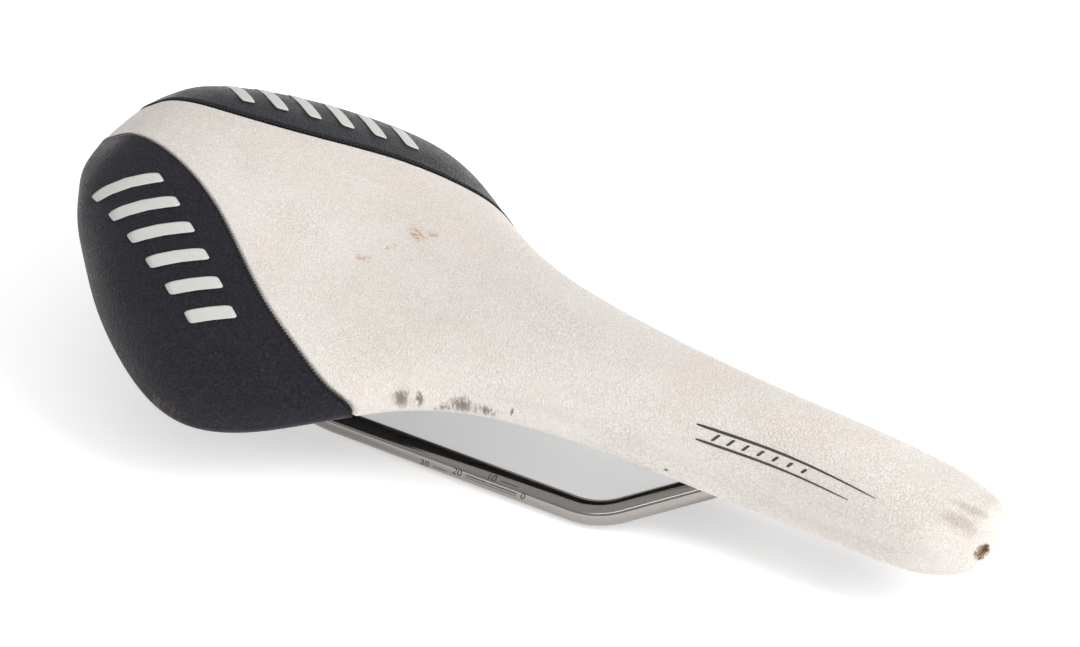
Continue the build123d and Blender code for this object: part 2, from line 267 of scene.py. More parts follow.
def weld(piece, distance):
    """Merges vertices that lie together and drops faces that have collapsed."""
    def change(work):
        bmesh.ops.remove_doubles(work, verts=work.verts, dist=distance * MM)
        bmesh.ops.dissolve_degenerate(work, edges=work.edges, dist=distance * MM)
    edit(piece, change)
    smooth(piece.data)


def recalc(piece):
    edit(piece, lambda work: bmesh.ops.recalc_face_normals(work, faces=work.faces))


def evaluated_mesh(piece):
    """The piece's mesh with its modifiers applied, or a curve's mesh."""
    graph = bpy.context.evaluated_depsgraph_get()
    return bpy.data.meshes.new_from_object(piece.evaluated_get(graph))


def modify(piece, kind, **settings):
    modifier = piece.modifiers.new(kind.lower(), kind)
    for key, value in settings.items():
        setattr(modifier, key, value)


def apply_modifiers(piece):
    mesh = evaluated_mesh(piece)
    piece.modifiers.clear()
    old = piece.data
    piece.data = mesh
    bpy.data.meshes.remove(old)


class Sheet:
    """Blocks of grid vertices gathered into one mesh."""

    def __init__(self):
        self.verts = []
        self.faces = []
        self.count = 0

    def add(self, grid, flip=False, closed=False):
        columns, rows = grid.shape[:2]
        start = self.count
        self.verts.append(grid.reshape(-1, 3))
        self.count += columns * rows
        for i in range(columns if closed else columns - 1):
            near = start + i * rows
            far = start + (i + 1) % columns * rows
            for j in range(rows - 1):
                quad = (near + j, far + j, far + j + 1, near + j + 1)
                self.faces.append(quad[::-1] if flip else quad)

    def piece(self, name, near=0.002):
        """The blocks as one piece; vertices this near to each other are merged."""
        piece = make_mesh(name, np.concatenate(self.verts), self.faces)
        weld(piece, near)
        return piece


# ---- rim and hem ----
RIM_PLACE = skin(FINE_X, FINE_RIM)[0]
RIM_TANGENT = unit(np.gradient(RIM_PLACE[:, :2], axis=0))
RIM_TANGENT[0] = 0, 1
RIM_TANGENT[-1] = 0, -1
HEM_TURN = 7  # rows round the rim
HEM_FLAT = 6  # rows across the underside
HEM_WIDTHS = (5.2, 8.8)  # where the saddle is narrowest and where it is widest
NARROWEST = 17.1
WIDEST = 73.3


def hem_width(x):
    """How far the hem reaches in from the rim; it ends at the shell's inner wall."""
    share = np.clip((half_width(x) - NARROWEST) / (WIDEST - NARROWEST), 0, 1)
    return HEM_WIDTHS[0] + (HEM_WIDTHS[1] - HEM_WIDTHS[0]) * share


def hem(index):
    """Positions and outward normals of the hem below left rim points (fractional indices)."""
    x = pick(FINE_X, index)
    across = unit(np.stack([pick(RIM_TANGENT[:, 1], index), -pick(RIM_TANGENT[:, 0], index)], -1))
    start = np.stack([x, pick(RIM_PLACE[:, 1], index)], -1)
    turn = np.linspace(0, pi / 2, HEM_TURN + 1)
    flat = np.linspace(0, 1, HEM_FLAT + 1)[1:]
    inward = np.concatenate([np.tile(RIM_RADIUS * (1 - np.cos(turn)), (len(x), 1)),
                             RIM_RADIUS + flat * (hem_width(x)[:, None] - RIM_RADIUS)], 1)
    drop = np.concatenate([-RIM_RADIUS * np.sin(turn), np.full(HEM_FLAT, -RIM_RADIUS)])
    facing = np.concatenate([turn, np.full(HEM_FLAT, pi / 2)])
    plan = start[:, None, :] + inward[..., None] * across[:, None, :]
    place = np.concatenate([plan, (edge_height(plan[..., 0]) + RIM_RAISE + drop)[..., None]], -1)
    slope = steepness(edge_height, plan[..., 0], 0.1)
    down = unit(np.stack([slope, np.zeros_like(slope), -np.ones_like(slope)], -1))
    out = np.concatenate([-across, np.zeros((len(x), 1))], 1)[:, None, :]
    normal = np.cos(facing)[None, :, None] * out + np.sin(facing)[None, :, None] * down
    return place, normal


# ---- seam line ----
def seam_line():
    """The left seam in space: along the hem, over the top of the saddle and back onto the hem."""
    _, angle, is_open = boundary(0)
    on = np.where(is_open)[0]
    middle = skin(FINE_X[on], angle[on])
    tail, front = (hem(np.array([float(i)])) for i in (on[0], on[-1]))
    place, normal = (np.concatenate([tail[k][0][::-1], middle[k], front[k][0]]) for k in (0, 1))
    keep = np.concatenate([[True], np.linalg.norm(np.diff(place, axis=0), axis=1) > 1e-4])
    place, normal = place[keep], normal[keep]
    walk = evenly(place, 0.25)
    return pick_rows(place, walk), unit(pick_rows(normal, walk))


SEAM_PLACE, SEAM_NORMAL = seam_line()
POINTS_AT_ONCE = 4000


def seam_distance(place):
    """Distance from each point to the nearest seam, left or right."""
    flat = place.reshape(-1, 3).copy()
    flat[:, 1] = np.abs(flat[:, 1])
    result = np.empty(len(flat))
    for start in range(0, len(flat), POINTS_AT_ONCE):
        part = flat[start:start + POINTS_AT_ONCE, None, :] - SEAM_PLACE[None, ::2]
        result[start:start + POINTS_AT_ONCE] = np.sqrt((part ** 2).sum(-1).min(1))
    return result.reshape(place.shape[:-1])


def ramp(value, low, high):
    share = np.clip((value - low) / (high - low), 0, 1)
    return share * share * (3 - 2 * share)


def bell(value, width):
    return np.exp(-(value / width) ** 2)


# ---- padding: a cloth simulation gives the swell of the cover between its seams ----
PILLOW_X = np.linspace(TAIL_TIP + 2, NOSE_TIP - 2, 70)
PILLOW_TURN = np.linspace(-1, 1, 41)
SWELL_LIMIT = 1.2
PAD_INSET = 1.5  # the simulated body starts this far inside the skin
PAD_VOXEL = 4.5
PAD_PRESSURE = 4
PAD_FRAMES = 20
PIN_AT_SEAM = 4.0  # held this near to a seam
PIN_AT_RIM = 3.5  # held this far up from the bottom edge


def vertices_of(piece):
    """The piece's vertices in millimetres."""
    places = np.empty(len(piece.data.vertices) * 3)
    piece.data.vertices.foreach_get("co", places)
    return places.reshape(-1, 3) / MM


def simulated_swell():
    """How far the padding pushes the cover out, in mm, over PILLOW_X and PILLOW_TURN."""
    columns = np.linspace(0, 1, 90)
    x = MIDDLE_X - HALF_LENGTH * np.cos(columns * pi) * 0.992
    grid_x, _, top, normal = across_grid(x, np.linspace(-1, 1, 41))
    top = top - normal * PAD_INSET
    base = top.copy()
    base[..., 2] = edge_height(grid_x)
    sheet = Sheet()
    sheet.add(top)
    sheet.add(base, flip=True)
    start = sheet.piece("swell_start", 0.5)

    def close(work):
        open_edges = [e for e in work.edges if len(e.link_faces) < 2]
        if open_edges:
            bmesh.ops.bridge_loops(work, edges=open_edges)
        bmesh.ops.holes_fill(work, edges=work.edges)
        bmesh.ops.recalc_face_normals(work, faces=work.faces)
    edit(start, close)
    modify(start, "REMESH", mode="VOXEL", voxel_size=PAD_VOXEL * MM, use_smooth_shade=True)
    apply_modifiers(start)
    rest = vertices_of(start)
    near_seam = seam_distance(rest) < PIN_AT_SEAM
    low = rest[:, 2] < edge_height(rest[:, 0]) + PIN_AT_RIM
    pins = start.vertex_groups.new(name="pins")
    pins.add([int(i) for i in np.where(near_seam | low)[0]], 1.0, "REPLACE")
    cloth = start.modifiers.new("cloth", "CLOTH")
    settings = cloth.settings
    settings.use_pressure = True
    settings.uniform_pressure_force = PAD_PRESSURE
    settings.effector_weights.gravity = 0
    settings.vertex_group_mass = "pins"
    settings.quality = 5
    cloth.point_cache.frame_start = 1
    cloth.point_cache.frame_end = PAD_FRAMES
    scene = bpy.context.scene
    for number in range(1, PAD_FRAMES + 1):
        scene.frame_set(number)
    apply_modifiers(start)
    scene.frame_set(1)
    shift = vertices_of(start) - rest
    distance = np.linalg.norm(shift, axis=1)
    limit = SWELL_LIMIT / np.maximum(distance, SWELL_LIMIT)
    shift *= limit[:, None]
    grid_x, _, place, normal = across_grid(PILLOW_X, PILLOW_TURN)
    swell = np.empty(grid_x.shape)
    for index in np.ndindex(*grid_x.shape):
        gap = ((rest - place[index]) ** 2).sum(1)
        nearest = np.argpartition(gap, 8)[:8]
        weight = 1 / (gap[nearest] + 4)
        swell[index] = (weight[:, None] * shift[nearest]).sum(0) @ normal[index] / weight.sum()
    bpy.data.objects.remove(start)
    for _ in range(2):
        swell[1:-1] = (swell[:-2] + 2 * swell[1:-1] + swell[2:]) / 4
        swell[:, 1:-1] = (swell[:, :-2] + 2 * swell[:, 1:-1] + swell[:, 2:]) / 4
    return swell


SWELL = simulated_swell()


def swell_at(x, angle):
    """Bicubic look-up of the swell."""
    turn = np.clip(angle / rim_angle(x), -1, 1)
    column = np.clip((x - PILLOW_X[0]) / (PILLOW_X[1] - PILLOW_X[0]), 0, len(PILLOW_X) - 1.001)
    row = np.clip((turn + 1) / (PILLOW_TURN[1] - PILLOW_TURN[0]), 0, len(PILLOW_TURN) - 1.001)
    result = 0
    for i, a in cubic_weights(column, len(PILLOW_X)):
        for j, b in cubic_weights(row, len(PILLOW_TURN)):
            result = result + a * b * SWELL[i, j]
    fade = ramp(x, TAIL_TIP, TAIL_TIP + 6) * ramp(NOSE_TIP - x, 0, 6)
    return result * fade


def cubic_weights(position, count):
    """Indices and B-spline weights of the four samples round each position."""
    base = np.floor(position).astype(int)
    t = position - base
    weights = ((1 - t) ** 3 / 6, (3 * t ** 3 - 6 * t ** 2 + 4) / 6,
               (-3 * t ** 3 + 3 * t ** 2 + 3 * t + 1) / 6, t ** 3 / 6)
    return [(np.clip(base + k - 1, 0, count - 1), w) for k, w in enumerate(weights)]


# ---- cover panels ----
SEAM_OVERLAP = 1.1  # how far the centre panel runs on under a wing panel
SEAM_DIP = 1.25  # how far it dips there
PANEL_STEP = 1.15
NOSE_STEP = 0.55
NOSE_FINE = 138  # the panel's grid is finer in front of this x
WING_STEP = 0.26
WING_THICKNESS = 0.7
WING_LIFT = 0.10  # the wing panel lies this far over the skin
TOOTH_PITCH = 1.05
TOOTH_DEPTH = 0.42
FOLD_HEIGHT = 5.0  # soft crease along the nose's sides, this far above the rim
FOLD_DEPTH = 0.70
FOLD_WIDTH = 1.8
HOLE = np.array([146.6, -8.0, 22.3])  # worn through at the nose's right lower corner
HOLE_RADIUS = 1.5
HOLE_ALONG = np.array([0.39, 0.67, 0.63])  # the hole is longest this way
CURL_HEIGHT = 0.16  # the cover's edge stands up round the hole
CURL_WIDTH = 0.8


def relief(x, angle, place):
    """Height over the skin from the swell, the crease above the rim and the curl round the hole."""
    above = place[..., 2] - edge_height(x)
    crease = bell(above - FOLD_HEIGHT, FOLD_WIDTH) * ramp(x, -15, 9) * ramp(143 - x, 0, 12)
    from_hole = np.linalg.norm(place - HOLE, axis=-1)
    curl = CURL_HEIGHT * bell(from_hole - HOLE_RADIUS, CURL_WIDTH) * ramp(above, RIM_RAISE, 3.5)
    return swell_at(x, angle) - FOLD_DEPTH * crease + curl


def dip(signed):
    """The centre panel's drop, by distance past the seam."""
    return -SEAM_DIP * ramp(signed, -0.9, 0.25)


def centre_panel():
    x, angle, is_open = boundary(SEAM_OVERLAP)
    edge = skin(x, angle)[0]
    walk = evenly(edge, PANEL_STEP)
    fine = evenly(edge[x > NOSE_FINE], NOSE_STEP) + np.sum(x <= NOSE_FINE)
    walk = np.concatenate([walk[pick(x, walk) < NOSE_FINE], fine])
    column_x = pick(x, walk)
    column_angle = pick(angle, walk)
    rows = np.linspace(0, 1, 53)
    spread = 1 - (1 - rows) ** 1.45
    spread = np.concatenate([-spread[:0:-1], spread])
    grid_x = np.repeat(column_x[:, None], len(spread), 1)
    grid_angle = column_angle[:, None] * spread[None, :]
    place, normal = skin(grid_x, grid_angle)
    # where the panel ends at a seam it dips under the wing panel's edge
    signed = seam_distance(place)
    beyond = np.abs(grid_angle) > seam_angle(grid_x) + 1e-6
    signed = np.where(beyond & (grid_x < SEAM_FRONT), signed, -signed)
    top = place + normal * (relief(grid_x, grid_angle, place) + dip(signed))[..., None]
    sheet = Sheet()
    sheet.add(top)
    at_rim = np.where(pick(np.where(is_open, 0.0, 1.0), walk) > 0.999)[0]
    for run in np.split(at_rim, np.where(np.diff(at_rim) > 1)[0] + 1):
        low, out = hem(walk[run])
        low = low + out * dip(-seam_distance(low))[..., None]
        low[:, 0] = top[run, -1]
        sheet.add(low)
        other = on_side(low, -1)
        other[:, 0] = top[run, 0]
        sheet.add(other, flip=True)
    return sheet.piece("cover_centre_panel")


def wing_panel(side, name):
    x, angle, is_open = boundary(0)
    on = np.where(is_open)[0]
    seam = skin(x[on], angle[on])[0]
    rim = RIM_PLACE[on[0]:on[-1] + 1]
    seam_run = run_length(seam)
    rim_run = run_length(rim)
    count = int(seam_run[-1] / WING_STEP)
    share = np.linspace(0, 1, count + 1)
    seam_x = np.interp(share * seam_run[-1], seam_run, x[on])
    rim_index = np.interp(share * rim_run[-1], rim_run, np.arange(on[0], on[-1] + 1))
    rim_x = pick(x, rim_index)
    # rows crowd towards the seam
    even = np.linspace(0, 1, 47)
    rows = even ** 1.5 * 0.75 + even * 0.25
    rows[1:6] = rows[6] * np.linspace(0, 1, 7)[1:6] ** 1.3
    grid_x = seam_x[:, None] + (rim_x - seam_x)[:, None] * rows[None, :]
    first = seam_angle(seam_x)
    last = rim_angle(rim_x)
    grid_angle = first[:, None] + (last - first)[:, None] * rows[None, :]
    grid_angle = np.minimum(grid_angle, rim_angle(grid_x))
    place, normal = skin(grid_x, grid_angle)
    gap = seam_distance(place)
    # pulled down by the seam, with a small roll beside it
    lift = WING_LIFT - 0.42 * (1 - ramp(gap, 0.0, 1.3)) + 0.12 * bell(gap - 1.6, 1.0)
    top = place + normal * (relief(grid_x, grid_angle, place) + lift)[..., None]
    # the pinked edge: small teeth pointing across the seam
    outward = np.cross(normal[:, 0], unit(np.gradient(place[:, 0], axis=0)))
    phase = share * seam_run[-1] / TOOTH_PITCH
    tooth = (1 - np.abs(2 * (phase % 1) - 1)) * TOOTH_DEPTH
    tooth *= ramp(share, 0, 0.02) * ramp(1 - share, 0, 0.02)
    fade = np.clip(1 - rows / rows[4], 0, 1)
    top += (outward * tooth[:, None])[:, None, :] * fade[None, :, None]
    low, out = hem(rim_index)
    low = low + out * WING_LIFT
    low[:, 0] = top[:, -1]
    sheet = Sheet()
    for grid in (top, low):
        sheet.add(on_side(grid, side), flip=side < 0)
    return sheet.piece(name)


def thicken(piece, thickness):
    """Gives a cover panel its thickness, inwards."""
    modify(piece, "SOLIDIFY", thickness=thickness * MM, offset=-1, use_even_offset=False,
           use_rim=True)
    apply_modifiers(piece)


def ragged(direction, seed):
    """Smooth noise of about +-1 over directions, for torn edges."""
    turn = np.random.default_rng(seed).normal(size=(9, 3)) * np.linspace(1.5, 5, 9)[:, None]
    offset = np.linspace(0, 5, 9)
    return np.sin(direction @ turn.T + offset).mean(-1) * 1.6


def wear_hole(piece):
    """Cuts the ragged hole that shows the foam at the nose's corner."""
    work = bmesh.new()
    bmesh.ops.create_icosphere(work, subdivisions=4, radius=1.0)
    for vert in work.verts:
        direction = np.array(vert.co)
        radius = HOLE_RADIUS * (1 + 0.30 * ragged(direction * 1.6, 4))
        reach = direction + HOLE_ALONG * (direction @ HOLE_ALONG) * 0.75
        vert.co = Vector((HOLE + reach * radius) * MM)
    mesh = bpy.data.meshes.new("hole_cutter")
    work.to_mesh(mesh)
    work.free()
    cutter = put("hole_cutter", mesh)
    modify(piece, "BOOLEAN", object=cutter, solver="EXACT")
    apply_modifiers(piece)
    bpy.data.objects.remove(cutter)
    smooth(piece.data)


# ---- foam under the cover ----
FOAM_GAP = 1.15  # the foam starts this far below the cover's outside
FOAM_TOP = 6.8
FOAM_SIDE = 1.6


def foam_pad():
    """The padding as one closed piece, with torn cells behind the worn hole."""
    x = np.concatenate([np.linspace(TAIL_TIP + 1.5, -100, 24), np.linspace(-97, 132, 70),
                        np.linspace(132.6, NOSE_TIP - 1.4, 56)])
    rows = np.sin(np.linspace(-1, 1, 75) * pi / 2)
    grid_x, angle, place, normal = across_grid(x, rows)
    thin = np.clip(height(grid_x) / 24, 0.15, 1)
    depth = (FOAM_SIDE + (FOAM_TOP - FOAM_SIDE) * np.cos(angle) ** 2) * thin
    torn = bell(np.linalg.norm(place - HOLE, axis=-1), 2.2)
    cells = ragged(place * 2.1, 8)
    outer = place - normal * (FOAM_GAP + torn * (0.15 + 0.45 * cells))[..., None]
    inner = place - normal * (FOAM_GAP + depth)[..., None]
    sheet = Sheet()
    sheet.add(outer)
    sheet.add(inner, flip=True)
    edges = [np.concatenate([grid[:, -1], grid[-1, ::-1], grid[::-1, 0], grid[0]])
             for grid in (outer, inner)]
    sheet.add(np.stack(edges, 1), closed=True)
    piece = sheet.piece("foam_core")
    recalc(piece)
    return piece


# ---- rail and thread ----
def tube(name, path, radius, sides):
    """A round tube along a polyline, closed at both ends, with no twist along it."""
    path = np.asarray(path, float)
    tangent = unit(np.gradient(path, axis=0))
    across = unit(np.cross(tangent[0], [0.0, 0.0, 1.0]))
    turn = np.linspace(0, 2 * pi, sides + 1)
    rings = []
    for place, along in zip(path, tangent):
        across = unit(across - along * (across @ along))
        other = np.cross(along, across)
        ring = np.cos(turn)[:, None] * across + np.sin(turn)[:, None] * other
        rings.append(place + radius * ring)
    tips = [np.repeat(path[k][None, :], sides + 1, 0)[None] for k in (0, -1)]
    sheet = Sheet()
    sheet.add(np.concatenate([tips[0], np.array(rings), tips[1]]))
    piece = sheet.piece(name)
    recalc(piece)
    return piece


LONGEST_STEP = 4


def rounded_path(corners, radii):
    """Points along straight runs joined by tangent arcs."""
    corners = [np.array(c, float) for c in corners]
    points = [corners[0]]
    for before, corner, after, radius in zip(corners, corners[1:], corners[2:], radii):
        back = unit(before - corner)
        ahead = unit(after - corner)
        half = np.arccos(np.clip(back @ ahead, -1, 1)) / 2
        middle = unit(back + ahead)
        centre = corner + middle * radius / np.sin(half)
        start = corner + back * radius / np.tan(half) - centre
        stop = corner + ahead * radius / np.tan(half) - centre
        swing = pi - 2 * half
        steps = max(int(radius * swing), 6)  # 1 mm or less
        for k in range(steps + 1):
            t = swing * k / steps
            turned = start * np.sin(swing - t) + stop * np.sin(t)
            points.append(centre + turned / np.sin(swing))
    points.append(corners[-1])
    path = [points[0]]
    for point in points[1:]:
        gap = np.linalg.norm(point - path[-1])
        parts = max(int(gap / LONGEST_STEP), 1)
        path += [path[-1] + (point - path[-1]) * (k + 1) / parts for k in range(parts)]
    return np.array(path)


RAIL_RADIUS = 3.5
RAIL_HALF_SPACING = 22.0
RAIL_LEFT = [(-93.7, 31.1, 30.3), (-43.0, RAIL_HALF_SPACING, 0.0), (43.3, RAIL_HALF_SPACING, 0.0),
             (78.0, 7.5, 18.5), (124.0, 7.5, 18.5)]
RAIL_BENDS = [24.0, 24.0, 15.0, 7.4]


def rail_piece():
    right = [(x, -y, z) for x, y, z in reversed(RAIL_LEFT)]
    path = rounded_path(RAIL_LEFT + right, RAIL_BENDS + RAIL_BENDS[::-1])
    return tube("rail_polished", path, RAIL_RADIUS, 44)


STITCH_HALF_WIDTH = 0.36
STITCH_ASIDE = 0.42  # the zigzag lies on the wing's side of the seam
STITCH_MARGIN = 3.0  # seam left free at each end
STITCH_HEIGHT = 0.16
STITCH_DIP = 0.30  # how far the thread drops into its needle holes
THREAD_RADIUS = 0.12


def stitching(side, name):
    """Zigzag thread over the seam, with the needle holes' dip at each turn."""
    place = on_side(SEAM_PLACE, side)
    normal = on_side(SEAM_NORMAL, side)
    run = run_length(place)
    outward = np.cross(normal, unit(np.gradient(place, axis=0)))
    outward *= np.sign(np.sum(outward[:, 1]) * side)
    turns = int((run[-1] - 2 * STITCH_MARGIN) / (TOOTH_PITCH / 2))
    points = []
    for k in range(turns * 4 + 1):
        at = STITCH_MARGIN + k * TOOTH_PITCH / 8
        phase = (k / 8) % 1
        swing = 1 - 4 * abs(phase - 0.5)
        index = np.interp(at, run, np.arange(len(run)))
        here, up, aside = (pick_rows(rows, index) for rows in (place, normal, outward))
        high = STITCH_HEIGHT - STITCH_DIP * abs(swing) ** 4
        points.append(here + up * high + aside * (STITCH_ASIDE + swing * STITCH_HALF_WIDTH))
    return tube(name, points, THREAD_RADIUS, 7)


# ---- printed marks ----
PATCH_RINGS = 5
WING_INK_HEIGHT = 0.16  # height of the ink's face over the cover or the rail
NOSE_INK_HEIGHT = 0.07
RAIL_INK_HEIGHT = 0.035


def rounded_patch(size, squareness, at, slant=0.0, taper=0.0, spokes=48):
    """Flat rounded shape as rings of (u, v) points, sheared by slant and narrowed by taper."""
    turn = np.linspace(0, 2 * pi, spokes + 1)
    power = 2 / squareness
    u = np.sign(np.cos(turn)) * np.abs(np.cos(turn)) ** power * size[0] / 2
    v = np.sign(np.sin(turn)) * np.abs(np.sin(turn)) ** power * size[1] / 2
    v = v * (1 - taper * (u / size[0] + 0.5))
    ring = np.stack([u + slant * v, v], -1)
    return ring[None] * np.linspace(0.0, 1, PATCH_RINGS + 1)[:, None, None] + np.array(at)


def print_piece(name, patches, lay, material, thickness=0.12, turned=False):
    """One thin piece out of flat patches; lay(u, v) gives their places on a surface."""
    sheet = Sheet()
    for patch in patches:
        patch = patch[:, ::-1] if turned else patch
        sheet.add(lay(patch[..., 0], patch[..., 1]))
    piece = sheet.piece(name, 0.0005)
    thicken(piece, thickness)
    dress(piece, material)
    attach(piece, "saddle")


def over_cover(x, angle, side, raised):
    """Points this far over the left or the right side of the cover."""
    place, normal = skin(x, angle)
    return on_side(place + normal * (relief(x, angle, place) + raised)[..., None], side)


# Wing mark: slanted bars that get shorter towards the front. u runs forward along the wing and v
# towards the saddle's middle. The mark starts at WING_MARK_START, turned by WING_MARK_TURN.
WING_MARK_START = (-104.0, 27.5)
WING_MARK_TURN = radians(31)
WING_BARS = [(3.5, 17.0), (13.0, 17.0), (22.5, 16.0), (32.0, 15.0), (41.5, 13.5), (51.0, 12.0)]
WING_BAR_WIDTH = 4.0
WING_BAR_SLANT = 0.35


def on_wing(side):
    def lay(u, v):
        x = WING_MARK_START[0] + u * cos(WING_MARK_TURN) + v * sin(WING_MARK_TURN)
        y = WING_MARK_START[1] + u * sin(WING_MARK_TURN) - v * cos(WING_MARK_TURN)
        angle = np.arcsin(np.clip(y / half_width(x), 0, 0.999) ** (1 / SECTION_POWER))
        return over_cover(x, angle, side, WING_INK_HEIGHT)
    return lay


def wing_mark(side, name, material):
    patches = [rounded_patch((WING_BAR_WIDTH, tall), 7, (at, 0), WING_BAR_SLANT)
               for at, tall in WING_BARS]
    print_piece(name, patches, on_wing(side), material, turned=side < 0)


# Nose mark: two tapered lines with short slanted ticks between them
NOSE_MARK_X = 91.5
NOSE_MARK_TURN = radians(50)
NOSE_MARK_BEND = 19.0  # radius of the nose's side, for turning heights into angles


def on_nose(side):
    def lay(u, v):
        x = NOSE_MARK_X + u
        angle = NOSE_MARK_TURN - v / NOSE_MARK_BEND
        return over_cover(x, angle, side, NOSE_INK_HEIGHT)
    return lay


def nose_mark(side, name, material):
    patches = [rounded_patch((52, 0.95), 4, (0, 1.9), taper=0.6, spokes=160),
               rounded_patch((44, 0.8), 4, (-3, -1.9), taper=0.6, spokes=160)]
    for k in range(7):
        patches.append(rounded_patch((0.9, 2.1 - 0.12 * k), 5, (-20 + 4.2 * k, 0), 0.7))
    print_piece(name, patches, on_nose(side), material, turned=side > 0)


# Clamp scale on the outer side of each rail: a number every 10 mm, and lines between the numbers.
# Heights go round the rail from SCALE_TURN: the 10 stands higher and the 30 lower than the others.
SCALE_ZERO = 22.3
SCALE_STEP = 10.0
SCALE_DIGIT = 2.1
DIGIT_SLANT = 0.2
CAPITAL_SHARE = 0.72  # height of a figure over the font's size
SCALE_TURN = radians(8)
SCALE_NUMBERS = [("0", 0.0), ("10", 1.9), ("20", 0.0), ("30", -1.1)]
# step at the start, step at the end, height, thickness
SCALE_LINES = [(1.72, 0.16, 0.0, 0.32), (1.72, 0.16, -0.75, 0.16), (0.70, 0.18, 1.9, 0.24),
               (2.72, 2.30, -1.1, 0.20)]


def on_rail(side):
    def lay(u, v):
        turn = SCALE_TURN + v / RAIL_RADIUS
        radius = RAIL_RADIUS + RAIL_INK_HEIGHT
        across = RAIL_HALF_SPACING + radius * np.cos(turn)
        return np.stack([-side * u, side * across, radius * np.sin(turn)], -1)
    return lay


def digits(text, material, name, lay, at, high):
    """A number as thin ink, cut into strips so that it can bend round the rail."""
    curve = bpy.data.curves.new(name, "FONT")
    curve.body = text
    curve.size = SCALE_DIGIT / CAPITAL_SHARE
    curve.align_x = "CENTER"
    curve.resolution_u = 6
    source = put(name, curve)
    mesh = evaluated_mesh(source)
    bpy.data.objects.remove(source)
    piece = put(name, mesh)

    def bend(work):
        for cut in np.linspace(0, SCALE_DIGIT, 9)[1:-1]:
            geometry = work.verts[:] + work.edges[:] + work.faces[:]
            bmesh.ops.bisect_plane(work, geom=geometry, plane_co=(0, cut, 0), plane_no=(0, 1, 0))
        bmesh.ops.triangulate(work, faces=work.faces)
        for vert in work.verts:
            u = vert.co.x + DIGIT_SLANT * vert.co.y + at
            v = vert.co.y - SCALE_DIGIT / 2 + high
            vert.co = Vector(lay(np.array(u), np.array(v)) * MM)
        bmesh.ops.recalc_face_normals(work, faces=work.faces)
    edit(piece, bend)
    dress(piece, material)
    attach(piece, "saddle")


def rail_scale(side, word, material):
    lay = on_rail(side)
    forward = -side  # which way u runs along the rail

    def along(step):
        return forward * (SCALE_ZERO - step * SCALE_STEP)
    for k, (text, high) in enumerate(SCALE_NUMBERS):
        digits(text, material, f"rail_scale_{word}_{text}", lay, along(k), high)
    lines = []
    for start, stop, high, thick in SCALE_LINES:
        length = abs(along(start) - along(stop))
        middle = (along(start) + along(stop)) / 2
        lines.append(rounded_patch((length, thick), 8, (middle, high), spokes=64))
    print_piece(f"rail_scale_{word}_lines", lines, lay, material, 0.02)


# ---- camera, light and floor ----
AZIMUTH = radians(24.18)
ELEVATION = radians(33.65)
ROLL = radians(5.69)
CAMERA_DISTANCE = 1398.8
FOCAL_SHARE = 5177 / 1080  # focal length over the picture's width
SENSOR_WIDTH = 36.0
AIM = Vector((9.0, 0.0, 25.0))
AIM_ASIDE = (2.87, 9.96)


def add_camera():
    right = Vector((cos(AZIMUTH), sin(AZIMUTH), 0))
    back = Vector((sin(AZIMUTH) * cos(ELEVATION), -cos(AZIMUTH) * cos(ELEVATION), sin(ELEVATION)))
    up = back.cross(right)
    tilted_right = right * cos(ROLL) + up * sin(ROLL)
    tilted_up = up * cos(ROLL) - right * sin(ROLL)
    target = AIM + tilted_right * AIM_ASIDE[0] + tilted_up * AIM_ASIDE[1]
    place = (target + back * CAMERA_DISTANCE) * MM
    lens = bpy.data.cameras.new("camera")
    lens.sensor_width = SENSOR_WIDTH
    lens.lens = SENSOR_WIDTH * FOCAL_SHARE
    lens.clip_end = 20
    camera = put("camera", lens)
    turn = Matrix((tilted_right, tilted_up, back)).transposed().to_4x4()
    camera.matrix_world = Matrix.Translation(place) @ turn
    bpy.context.scene.camera = camera


def add_area_light(name, place, target, size, watts, colour=(1, 1, 1)):
    light = bpy.data.lights.new(name, "AREA")
    light.shape = "RECTANGLE"
    light.size, light.size_y = size
    light.energy = watts
    light.color = colour
    lamp = put(name, light)
    lamp.location = place
    aim = (Vector(target) - Vector(place)).to_track_quat("-Z", "Y")
    lamp.rotation_euler = aim.to_euler()


SKY_LOW = 0.50  # the sky's strength at the horizon and overhead
SKY_HIGH = 0.68
FLOOR_HALF = 6000.0
FLOOR_LINES = 9


def floor_grid():
    """A flat grid under the rail's lowest point."""
    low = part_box("rail")[0].z / MM
    span = np.linspace(-FLOOR_HALF, FLOOR_HALF, FLOOR_LINES)
    verts = [(x, y, low) for x in span for y in span]
    corners = [i * FLOOR_LINES + j for i in range(FLOOR_LINES - 1) for j in range(FLOOR_LINES - 1)]
    faces = [(c, c + FLOOR_LINES, c + FLOOR_LINES + 1, c + 1) for c in corners]
    return verts, faces


